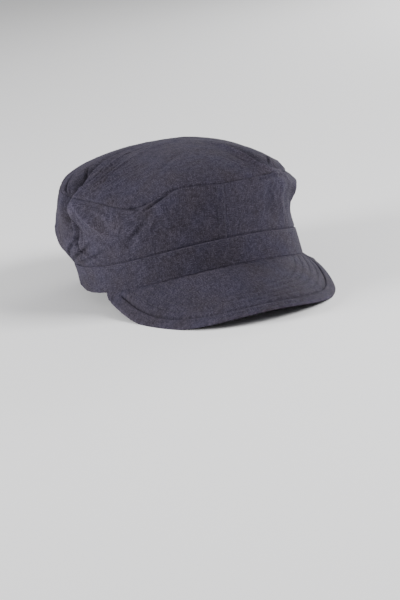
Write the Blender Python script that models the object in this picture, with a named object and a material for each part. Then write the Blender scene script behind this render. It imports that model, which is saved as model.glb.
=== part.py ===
# A soft cloth kepi cap, resting on a table on the two corners of its peak and the back of its band.
# Metres, +Z up, the front towards -Y. The cap is worked out level, as it sits on a head, and an empty
# then pitches it into its rest. Angles go round the crown from the front, positive to the wearer's right.

import math

import bpy
import numpy as np
from mathutils import Matrix

BAND_LENGTH = 0.206  # outside the band, front to back: a head of about 57 cm
BAND_WIDTH = 0.166
BAND_HEIGHT = 0.020
BAND_ARCH = 0.0128  # how much higher the band's foot is at the front than at the sides and back
BAND_CLOTH = 0.0022
BAND_LEAN = -0.0025  # its top leans this far to the wearer's right, which is -X
BAND_END_ANGLE = 112.0  # where the plain band ends and the gathered back begins

CLOTH = 0.0015
SEAM_GAP = 0.0003  # between one piece and the next along every seam

WALL_HEIGHT = 0.0395  # band to top seam at the front
WALL_OVERHANG = 0.010  # how far the slack wall hangs out past the band at the back
WALL_SETBACK = 0.0004  # the band stands this proud of the wall's foot
CROWN_RISE = 0.0275  # middle of the top over the front of its seam
CROWN_BACK_SHIFT = 0.004
CROWN_SIDE_SHIFT = -0.004  # the top's middle leans to the wearer's right, which is -X
DOME_POWER = 1.9

GATHER_DEPTH = 0.0011  # half the height of a ruffle on the elastic back
GATHER_COUNT = 15
PLEAT_DEPTH = 0.0016
PLEAT_COUNT = 9
PLEAT_START = 0.12  # share of the wall's height by which the pleats reach their full depth

PEAK_LENGTH = 0.0565  # forward of the band at the centre
PEAK_THICKNESS = 0.0025
PEAK_END_ANGLE = 71.7
PEAK_SIDE_SHIFT = 0.0018  # the peak is sewn this much towards the wearer's left
PEAK_SIDE = 0.0028  # the widest line stands this much outside the peak's ends
PEAK_SHOULDER = 0.0125  # and lies this far in front of them
PEAK_SQUARENESS = 2.12  # of its outline: 2 is an ellipse
PEAK_SLOPE = 24.8
PEAK_BEND_RADIUS = 0.084
PEAK_BORDER = 0.0067
BORDER_STEP = 0.0004  # the border's cloth lies this much below the peak's own
PEAK_EASE = 0.012  # within about this distance the peak's surface turns to follow the band
PEAK_CLEARANCE = 0.0008  # between the ends of the peak and the band's face
# Across the border from its seam: the place, and the share of the thickness there.
BORDER_PROFILE = ((0.0, 1.0), (0.5, 1.0), (0.85, 0.85), (1.0, 0.3))

FOLD_WIDTH = 0.008
FOLD_DEPTH = 0.009
FOLD_FADE = 0.6  # how soon a fold deepens from its ends
FLOOR_PRESS = 0.0012  # how much the cloth flattens where it rests
STEEPEST_PITCH = 20.0  # a bound on the pitch at which the cap can rest

# Outward shares of WALL_OVERHANG at three heights of the wall and at its seam, the seam's height in
# shares of WALL_HEIGHT, and how roundly the top leaves the seam there.
SECTION_COLUMNS = ("angle", "low", "middle", "high", "seam", "seam_height", "roundness")
SECTIONS = (
    (0.0, 0.00, 0.10, 0.20, 0.15, 1.00, 0.62),
    (22.5, 0.05, 0.20, 0.30, 0.10, 1.03, 0.64),
    (45.0, 0.10, 0.35, 0.35, 0.10, 0.77, 0.64),
    (67.5, 0.20, 0.40, 0.55, 0.30, 0.95, 0.72),
    (90.0, 0.40, 0.40, 0.85, 0.50, 1.06, 0.78),
    (112.5, 0.95, 0.95, 0.60, 0.15, 1.18, 0.72),
    (135.0, 1.20, 1.25, 0.85, 0.20, 1.24, 0.72),
    (157.5, 1.30, 1.40, 1.00, 0.35, 1.27, 0.70),
    (180.0, 1.35, 1.50, 1.05, 0.40, 1.27, 0.72),
    (202.5, 1.25, 1.40, 1.00, 0.35, 1.26, 0.70),
    (225.0, 0.95, 1.10, 0.85, 0.25, 1.18, 0.64),
    (247.5, 0.35, 0.55, 0.65, 0.10, 1.00, 0.66),
    (270.0, -0.05, 0.10, 0.55, -0.05, 0.79, 0.70),
    (292.5, -0.25, -0.15, 0.40, -0.30, 0.80, 0.66),
    (315.0, -0.15, 0.00, 0.20, -0.10, 0.91, 0.62),
    (337.5, -0.05, 0.08, 0.15, 0.00, 0.98, 0.62),
)
STATION_OF = {"foot": 0.0, "low": 0.25, "middle": 0.5, "high": 0.8, "seam": 1.0}

# A fold runs between two places. A station is 0 at the wall's foot, 1 at the top seam and 2 at the middle
# of the top. Widths and depths are shares of FOLD_WIDTH and FOLD_DEPTH, and a depth below 0 is a ridge.
FOLD_COLUMNS = ("angle", "station", "to_angle", "to_station", "width", "depth")
FOLDS = (
    (101.0, 0.80, 106.0, 0.40, 1.0, 0.60),
    (96.0, 1.27, 68.0, 1.72, 1.2, 0.70),
    (261.0, 1.24, 285.0, 1.60, 1.2, 0.60),
    (86.0, 1.12, 62.0, 1.50, 1.2, -0.25),
    (43.0, 1.05, 22.0, 1.22, 0.9, 0.25),
    (78.0, 0.80, 55.0, 0.30, 1.1, 0.28),
    (128.0, 0.90, 124.0, 0.20, 1.0, 0.35),
    (205.0, 0.85, 212.0, 0.20, 1.0, 0.30),
)
FOLD_SAMPLES = 25

FRONT_STEP = 5.0
BACK_STEP = 3.4
WALL_ROWS = 8
TOP_RINGS = 8
TOP_LAST_STATION = 1.9
TOP_RING_POWER = 1.15
MITRE_LIMIT = 1.2
PEAK_COLUMNS = 31
PEAK_ROWS = 4
SHARP_ANGLE = 50.0

CLOTH_COLOUR = (0.052, 0.048, 0.075, 1.0)  # dark navy
CLOTH_ROUGHNESS = 0.9


def periodic(values, angle):
    """A smooth closed curve through evenly spaced values, read at each angle."""
    count = len(values)
    place = np.asarray(angle) / 360.0 * count
    step = np.floor(place).astype(int)
    t = place - step
    before, here, after, beyond = (values[(step + k) % count] for k in (-1, 0, 1, 2))
    bend = 3 * (here - after) + beyond - before
    return here + 0.5 * t * (after - before + t * (2 * before - 5 * here + 4 * after - beyond + t * bend))


def section(column, angle):
    index = SECTION_COLUMNS.index(column)
    return periodic(np.array([row[index] for row in SECTIONS]), np.mod(angle, 360.0))


def through(places, values, where):
    """A smooth open curve through the values at the given places."""
    last = len(places) - 1
    slopes = []
    for k in range(last + 1):
        low, high = max(k - 1, 0), min(k + 1, last)
        slopes.append((values[high] - values[low]) / (places[high] - places[low]))
    result = np.zeros_like(where) + values[-1]
    for k in range(last):
        width = places[k + 1] - places[k]
        t = np.clip((where - places[k]) / width, 0, 1)
        start = (2 * t**3 - 3 * t**2 + 1) * values[k] + (t**3 - 2 * t**2 + t) * width * slopes[k]
        end = (3 * t**2 - 2 * t**3) * values[k + 1] + (t**3 - t**2) * width * slopes[k + 1]
        inside = (where >= places[k]) & (where <= places[k + 1])
        result = np.where(inside, start + end, result)
    return result


def unit(vectors):
    return vectors / (np.linalg.norm(vectors, axis=-1, keepdims=True) + 1e-12)


def oval(angle, inset=0.0):
    """Plan of the band's outer face, inset along its normal, and that normal."""
    turn = np.radians(angle)
    half_length, half_width = BAND_LENGTH / 2, BAND_WIDTH / 2
    normal = np.stack([-np.sin(turn) / half_width, -np.cos(turn) / half_length], -1)
    normal = unit(normal)
    plan = np.stack([-half_width * np.sin(turn), -half_length * np.cos(turn)], -1)
    return plan - inset * normal, normal


def band_foot(angle):
    """Height of the band's foot: highest at the front, level from the sides round the back."""
    turn = np.radians(angle)
    return -BAND_ARCH * np.where(np.cos(turn) > 0, np.sin(turn) ** 2, 1.0)


def pleats(angle, count):
    """A wave round the back, fading to nothing at the ends of the plain band."""
    half_back = 180.0 - BAND_END_ANGLE
    share = (np.mod(angle, 360.0) - 180.0) / half_back
    fade = np.clip(1 - share**2, 0, 1) ** 0.5
    return np.cos(np.pi * count * share) * fade


def crown_base(angle, station):
    """The crown's outer face without its folds."""
    angle, station = np.broadcast_arrays(np.asarray(angle, float), np.asarray(station, float))
    plan, normal = oval(angle)
    up = np.clip(station, 0, 1)
    named = [section(name, angle) for name in ("low", "middle", "high", "seam")]
    shares = [np.full_like(angle, -WALL_SETBACK / WALL_OVERHANG), *named]
    out = WALL_OVERHANG * through(list(STATION_OF.values()), shares, up)
    out = out + PLEAT_DEPTH * pleats(angle, PLEAT_COUNT) * (1 - up) * np.clip(up / PLEAT_START, 0, 1)
    foot = band_foot(angle) + BAND_HEIGHT + SEAM_GAP
    seam = BAND_HEIGHT + WALL_HEIGHT * section("seam_height", angle)
    wall = np.concatenate([plan + normal * out[..., None], (foot + (seam - foot) * up)[..., None]], -1)
    reach = np.clip(2 - station, 0, 1)[..., None]
    rise = (1 - reach**DOME_POWER) ** section("roundness", angle)[..., None]
    middle = np.array([CROWN_SIDE_SHIFT, CROWN_BACK_SHIFT, BAND_HEIGHT + WALL_HEIGHT + CROWN_RISE])
    top_plan = middle[:2] + (wall[..., :2] - middle[:2]) * reach
    top_height = wall[..., 2:] + (middle[2] - wall[..., 2:]) * rise
    points = np.where(station[..., None] > 1, np.concatenate([top_plan, top_height], -1), wall)
    points[..., 0] += BAND_LEAN * (1 - up)
    return points


def grid_normals(points, closed):
    """Outward normals of a grid that runs round the crown, then up it."""
    if closed:
        along = np.roll(points, -1, 0) - np.roll(points, 1, 0)
    else:
        along = np.gradient(points, axis=0)
    return unit(np.cross(np.gradient(points, axis=1), along))


def folded(angle, station):
    """The crown's outer face with its folds, and its normals."""
    points = crown_base(angle, station)
    normal = grid_normals(points, True)
    inward = np.zeros(points.shape[:-1])
    share = np.linspace(0, 1, FOLD_SAMPLES)
    for row in FOLDS:
        fold = dict(zip(FOLD_COLUMNS, row, strict=True))
        fold_angle = fold["angle"] + (fold["to_angle"] - fold["angle"]) * share
        fold_station = fold["station"] + (fold["to_station"] - fold["station"]) * share
        line = crown_base(fold_angle, fold_station)
        apart = np.linalg.norm(points[..., None, :] - line, axis=-1)
        fade = np.sin(np.pi * share[apart.argmin(-1)]) ** FOLD_FADE
        spread = np.exp(-((apart.min(-1) / (fold["width"] * FOLD_WIDTH)) ** 2))
        inward += fold["depth"] * FOLD_DEPTH * spread * fade
    points = points - normal * inward[..., None]
    return points, grid_normals(points, True)


def shell(outer, inner, closed=False, capped=False):
    """Vertices and faces between two like grids: closed joins the last column to the first, and capped
    closes the last row over its middle."""
    count, rows = outer.shape[:2]
    half = count * rows
    vertices = np.concatenate([outer.reshape(-1, 3), inner.reshape(-1, 3)])
    faces = []
    for i in range(count if closed else count - 1):
        j = (i + 1) % count
        for k in range(rows - 1):
            face = (i * rows + k, i * rows + k + 1, j * rows + k + 1, j * rows + k)
            faces.append(face)
            faces.append(tuple(half + corner for corner in reversed(face)))
        faces.append((i * rows, j * rows, half + j * rows, half + i * rows))
        ends = (i * rows + rows - 1, j * rows + rows - 1)
        if capped:
            faces.append((ends[0], 2 * half, ends[1]))
            faces.append((half + ends[1], 2 * half + 1, half + ends[0]))
        else:
            faces.append((ends[0], half + ends[0], half + ends[1], ends[1]))
    if capped:
        vertices = np.concatenate([vertices, [outer[:, -1].mean(0), inner[:, -1].mean(0)]])
    if not closed:
        for i, order in ((0, -1), (count - 1, 1)):
            for k in range(rows - 1):
                low, high = i * rows + k, i * rows + k + 1
                faces.append((low, high, half + high, half + low)[::order])
    return vertices, faces


def crown_ring():
    """Angles round the crown, closer together round the gathered back, with a pair at each wall seam."""
    seam = math.degrees(SEAM_GAP / BAND_WIDTH)
    front = np.arange(FRONT_STEP, BAND_END_ANGLE, FRONT_STEP)
    back = np.arange(BAND_END_ANGLE, 180.0 - BACK_STEP / 2, BACK_STEP)
    right = np.concatenate([[seam], front, back, [180.0 - seam]])
    return np.concatenate([right, 360.0 - right[::-1]])


def crown_solids():
    """The two halves of the wall and the top, mitred where they meet so that each keeps its thickness."""
    ring = crown_ring()[:, None]
    wall_end = 1 - SEAM_GAP / 2 / WALL_HEIGHT
    top_start = 1 + SEAM_GAP / BAND_WIDTH
    shares = np.linspace(0, 1, TOP_RINGS) ** TOP_RING_POWER
    top_stations = top_start + (TOP_LAST_STATION - top_start) * shares
    wall, wall_normal = folded(ring, np.linspace(0, wall_end, WALL_ROWS + 1)[None, :])
    top, top_normal = folded(ring, top_stations[None, :])
    half = len(ring) // 2
    for right, left in ((0, -1), (half - 1, half)):
        wall_normal[right] = wall_normal[left] = unit(wall_normal[right] + wall_normal[left])
    wall_normal[:, 0, 2] = 0
    wall_normal[:, 0] = unit(wall_normal[:, 0])
    both = wall_normal[:, -1] + top_normal[:, 0]
    mitre = both * 2 / np.maximum((both**2).sum(-1, keepdims=True), MITRE_LIMIT)
    wall_normal[:, -1] = top_normal[:, 0] = mitre
    inner_wall = wall - CLOTH * wall_normal
    return {
        "wall_right": shell(wall[:half], inner_wall[:half]),
        "wall_left": shell(wall[half:], inner_wall[half:]),
        "top_panel": shell(top, top - CLOTH * top_normal, closed=True, capped=True),
    }


def band_shell(angles, wave, rows):
    """A standing strip on the band's oval, waved in and out."""
    plan, normal = oval(angles)
    foot = band_foot(angles)
    heights = np.linspace(0, BAND_HEIGHT, rows)
    sides = []
    for inset in (0.0, BAND_CLOTH):
        flat = plan + normal * (wave - inset)[:, None]
        lean = [[BAND_LEAN * height / BAND_HEIGHT, 0] for height in heights]
        strips = [np.column_stack([flat + step, foot + height]) for step, height in zip(lean, heights)]
        sides.append(np.stack(strips, 1))
    return shell(sides[0], sides[1])


def band():
    ends = BAND_END_ANGLE - math.degrees(SEAM_GAP / BAND_LENGTH)
    angles = np.linspace(-ends, ends, int(2 * ends / FRONT_STEP) + 1)
    return band_shell(angles, np.zeros_like(angles), 2)


def back_band():
    ends = 180.0 - BAND_END_ANGLE - math.degrees(SEAM_GAP / BAND_LENGTH)
    angles = 180.0 + np.linspace(-ends, ends, 4 * GATHER_COUNT + 1)
    return band_shell(angles, GATHER_DEPTH * pleats(angles, GATHER_COUNT), 3)


def peak_end():
    """Forward distance and half width of the peak's ends, on the band's outer face."""
    turn = math.radians(PEAK_END_ANGLE)
    return BAND_LENGTH / 2 * math.cos(turn), BAND_WIDTH / 2 * math.sin(turn)


def peak_outline(turn, inset):
    """Plan of the peak's edge, two half ellipses that share its widest line, drawn in by inset."""
    forward, side = peak_end()
    widest = forward + PEAK_SHOULDER
    half_width = side + PEAK_SIDE
    front = BAND_LENGTH / 2 + PEAK_LENGTH - widest
    rear = PEAK_SHOULDER / math.sqrt(1 - (side / half_width) ** 2)
    reach = np.where(np.cos(turn) > 0, front, rear + inset)
    parts = (np.sin(turn), np.cos(turn))
    side_share, front_share = (np.sign(part) * np.abs(part) ** (2 / PEAK_SQUARENESS) for part in parts)
    across = PEAK_SIDE_SHIFT - (half_width - inset) * side_share
    return np.stack([across, -widest - (reach - inset) * front_share], -1)


def band_angle(plan):
    """Angle round the band of a point in plan."""
    return np.degrees(np.arctan2(-2 * plan[..., 0] / BAND_WIDTH, -2 * plan[..., 1] / BAND_LENGTH))


def beyond_band(plan):
    """Distance of a point in plan outside the band's outer face, along its normal."""
    on_band, normal = oval(band_angle(plan))
    return ((plan - on_band) * normal).sum(-1)


def peak_turns(inset, count):
    """Turns along the peak's outline, from where it comes near to the band on the wearer's right round to
    where it does on the left."""
    ends = []
    for side in (1, -1):
        turns = side * np.linspace(math.pi / 4, 3 * math.pi / 4, 2001)
        near = beyond_band(peak_outline(turns, inset)) < PEAK_CLEARANCE
        ends.append(turns[int(np.argmax(near))])
    return np.linspace(ends[0], ends[1], count)


def free_height(plan):
    """Height of the peak clear of the band: it falls forward at its slope and bends down to the sides."""
    forward = np.maximum(-plan[..., 1], peak_end()[0] + PEAK_SHOULDER)
    fall = math.tan(math.radians(PEAK_SLOPE)) * (forward - BAND_LENGTH / 2)
    return -fall - (plan[..., 0] - PEAK_SIDE_SHIFT) ** 2 / (2 * PEAK_BEND_RADIUS)


def peak_height(plan):
    """Height of the peak's top: at the band it follows the band's foot, and further out it is free."""
    angle = band_angle(plan)
    seam = band_foot(angle) - SEAM_GAP
    pull = np.exp(-((beyond_band(plan) / PEAK_EASE) ** 2))
    return free_height(plan) + (seam - free_height(oval(angle)[0])) * pull


def thickened(top, thickness):
    """The under side of a surface that is seen from above."""
    normal = grid_normals(top, False)
    normal *= np.where(normal[..., 2:] < 0, -1, 1)
    return top - thickness * normal


def peak_panel():
    """The stiffened peak inside its border, with a lip along its inner edge that lies under the band."""
    edge = peak_outline(peak_turns(PEAK_BORDER, PEAK_COLUMNS), PEAK_BORDER + SEAM_GAP)
    ends = band_angle(edge[[0, -1]])
    angles = np.linspace(ends[0], ends[1], PEAK_COLUMNS)
    lip, _ = oval(angles, BAND_CLOTH)
    start, _ = oval(angles, -SEAM_GAP)
    seam = band_foot(angles) - SEAM_GAP
    rows = [np.column_stack([lip, seam]), np.column_stack([start, seam])]
    for across in np.linspace(0, 1, PEAK_ROWS + 1)[1:]:
        plan = start + (edge - start) * across
        rows.append(np.column_stack([plan, peak_height(plan)]))
    top = np.stack(rows, 1)
    return shell(top, thickened(top, PEAK_THICKNESS))


def peak_border():
    """The cloth border folded round the peak's edge, from the band on one side to the band on the other."""
    line = peak_outline(peak_turns(PEAK_BORDER, PEAK_COLUMNS), PEAK_BORDER)
    edge = peak_outline(peak_turns(0.0, PEAK_COLUMNS), 0.0)
    half = (PEAK_THICKNESS - BORDER_STEP) / 2
    tops, unders = [], []
    for across, fullness in BORDER_PROFILE:
        plan = line + (edge - line) * across
        middle = peak_height(plan) - BORDER_STEP - half
        tops.append(np.column_stack([plan, middle + half * fullness]))
        unders.append(np.column_stack([plan, middle - half * fullness]))
    return shell(np.stack(tops, 1), np.stack(unders, 1))


def lowest(points, pitch):
    """The least height of some points once they are pitched forward."""
    return (math.cos(pitch) * points[:, 2] - math.sin(pitch) * points[:, 1]).min()


def rest_pose(solids):
    """The pitch at which the peak and the back of the band touch one level floor, and its height."""
    points = np.concatenate([vertices for vertices, _ in solids.values()])
    ahead, behind = points[points[:, 1] < 0], points[points[:, 1] > 0]
    low, high = 0.0, math.radians(STEEPEST_PITCH)
    for _ in range(40):
        pitch = (low + high) / 2
        front, back = (lowest(part, pitch) for part in (ahead, behind))
        if front < back:
            low = pitch
        else:
            high = pitch
    return -pitch, back + FLOOR_PRESS


def cloth_material(name):
    made = bpy.data.materials.new(name)
    made.use_nodes = True
    shader = made.node_tree.nodes["Principled BSDF"]
    shader.inputs["Base Color"].default_value = CLOTH_COLOUR
    shader.inputs["Roughness"].default_value = CLOTH_ROUGHNESS
    shader.inputs["Metallic"].default_value = 0.0
    made.diffuse_color = CLOTH_COLOUR
    return made


def add_object(name, vertices, faces, parent):
    mesh = bpy.data.meshes.new(name)
    mesh.from_pydata([tuple(v) for v in vertices], [], faces)
    mesh.update()
    mesh.shade_smooth()
    mesh.set_sharp_from_angle(angle=math.radians(SHARP_ANGLE))
    mesh.materials.append(cloth_material(name))
    made = bpy.data.objects.new(name, mesh)
    bpy.context.scene.collection.objects.link(made)
    made.parent = parent
    return made


def main():
    for existing in list(bpy.data.objects):
        bpy.data.objects.remove(existing)
    solids = {
        **crown_solids(),
        "band": band(),
        "back_band": back_band(),
        "peak": peak_panel(),
        "peak_border": peak_border(),
    }
    pitch, floor = rest_pose(solids)
    turn = np.array(Matrix.Rotation(pitch, 3, "X"))
    standing = {name: vertices @ turn.T for name, (vertices, _) in solids.items()}
    for vertices in standing.values():
        vertices[:, 2] = np.maximum(vertices[:, 2] - floor, 0.0)
    every = np.concatenate(list(standing.values()))
    shift = np.array([*(every.min(0) + every.max(0))[:2] / 2, 0.0])
    rest = bpy.data.objects.new("rest", None)
    bpy.context.scene.collection.objects.link(rest)
    rest.rotation_euler = (pitch, 0, 0)
    rest.location = (-shift[0], -shift[1], -floor)
    for name, (_, faces) in solids.items():
        level = (standing[name] + [0, 0, floor]) @ turn
        add_object(name, level, faces, rest)


main()
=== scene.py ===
import math

import bpy
import numpy as np
from mathutils import Matrix, Vector


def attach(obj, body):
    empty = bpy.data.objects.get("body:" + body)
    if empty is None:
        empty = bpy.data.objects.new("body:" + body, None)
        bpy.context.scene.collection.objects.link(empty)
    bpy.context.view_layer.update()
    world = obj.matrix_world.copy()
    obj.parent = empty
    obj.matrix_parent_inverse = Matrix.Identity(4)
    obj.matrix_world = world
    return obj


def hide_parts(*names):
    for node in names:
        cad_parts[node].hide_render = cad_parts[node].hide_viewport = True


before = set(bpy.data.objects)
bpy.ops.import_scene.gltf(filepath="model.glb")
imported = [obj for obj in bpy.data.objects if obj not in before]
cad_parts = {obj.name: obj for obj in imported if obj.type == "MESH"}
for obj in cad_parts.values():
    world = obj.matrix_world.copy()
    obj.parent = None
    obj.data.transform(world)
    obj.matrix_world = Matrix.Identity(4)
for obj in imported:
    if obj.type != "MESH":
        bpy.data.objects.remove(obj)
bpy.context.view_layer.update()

rng = np.random.default_rng(11)

# The cap is worked out in millimetres, level as on a head, with the front towards -Y and the wearer's
# right towards -X. toRest() then pitches it forward on to the floor, where the frame's own solids stand.
# An angle goes round the crown from the front, positive to the wearer's right. A station goes up it:
# 0 is the wall's foot, 1 the top seam and 2 the middle of the top.

rest = dict(pitch=-5.4532, floorDrop=-21.435, shiftX=-2.032, shiftY=-19.648)

band = dict(
    length=206.0,  # outside, front to back
    width=166.0,
    height=20.0,
    arch=12.8,  # the foot's rise at the front
    cloth=2.2,
    lean=-2.5,  # its top leans to the wearer's right
    endAngle=112.0,  # the gathered back starts here
    edgeRadius=0.9,
    stitchInset=1.9,  # the stitched row below the top edge
    endSeam=97.5,  # its ends are turned in here
    endSlant=4.5,  # later by this at the foot
    endStep=2.6,  # mm inwards
    endStepWidth=1.2,  # degrees
    endReturn=(105.0, 114.0),  # and the gathered back comes out again here
    endLift=5.5,  # the foot is drawn up where the two meet
    endLiftAt=111.0,
    endLiftReach=13.0,
    endOverlap=0.4,  # degrees of the gathered part that lie under the turned ends
)

crown = dict(
    wallHeight=39.5,  # where a section's seam height is 1
    overhang=10.0,  # mm outwards for a section's share of 1
    setback=0.4,  # the wall's foot behind the band's face
    rise=27.5,  # of the top's middle above the wall
    backShift=4.0,  # the top's middle, to the back
    sideShift=-4.0,  # and to the wearer's right
    domePower=1.9,
    cloth=1.5,
    seamGap=0.3,
    pleatDepth=1.6,  # over the gathered back
    pleatCount=9,
    pleatStart=0.12,  # share of the wall over which they begin
    wearAndShadePerMm=0.45,  # how much paler the cloth is for each mm that a fold stands out and darker for each mm that it sinks: wear and painted light on the crests, painted shade in the hollows
)

# Outward shares of the overhang at three heights and at the seam, the seam's height as a share of the
# wall's, and how roundly the top leaves it.
sectionColumns = ("angle", "low", "middle", "high", "seam", "seamHeight", "roundness")
sections = (
    (0.0, 0.00, 0.10, 0.20, 0.15, 1.00, 0.62),
    (22.5, 0.05, 0.20, 0.30, 0.10, 1.03, 0.64),
    (45.0, 0.10, 0.35, 0.35, 0.10, 0.77, 0.64),
    (67.5, 0.20, 0.40, 0.55, 0.30, 0.95, 0.72),
    (90.0, 0.40, 0.40, 0.85, 0.50, 1.06, 0.78),
    (112.5, 0.95, 0.95, 0.60, 0.15, 1.18, 0.72),
    (135.0, 1.20, 1.25, 0.85, 0.20, 1.24, 0.72),
    (157.5, 1.30, 1.40, 1.00, 0.35, 1.27, 0.70),
    (180.0, 1.35, 1.50, 1.05, 0.40, 1.27, 0.72),
    (202.5, 1.25, 1.40, 1.00, 0.35, 1.26, 0.70),
    (225.0, 0.95, 1.10, 0.85, 0.25, 1.18, 0.64),
    (247.5, 0.35, 0.55, 0.65, 0.10, 1.00, 0.66),
    (270.0, -0.05, 0.10, 0.55, -0.05, 0.79, 0.70),
    (292.5, -0.25, -0.15, 0.40, -0.30, 0.80, 0.66),
    (315.0, -0.15, 0.00, 0.20, -0.10, 0.91, 0.62),
    (337.5, -0.05, 0.08, 0.15, 0.00, 0.98, 0.62),
)
sectionStations = (0.0, 0.25, 0.5, 0.8, 1.0)  # of the foot and the columns from low to seam


def foldRow(name, width, depth, *path, lip=0.0, wide=0.0, crisp=False):
    # A fold runs through its (angle, station) places. Width and depth are in mm, and a depth below 0 is a
    # ridge. lip is the share of the depth that stands up beside it, on the side that its sign gives. wide
    # is the width on one side only, also by its sign, and crisp folds come to a crest. Along a path that
    # runs up, the sign's positive side is the front on the wearer's right and the back on the left.
    return dict(name=name, width=width, depth=depth, path=path, lip=lip, wide=wide, crisp=crisp)


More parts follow.
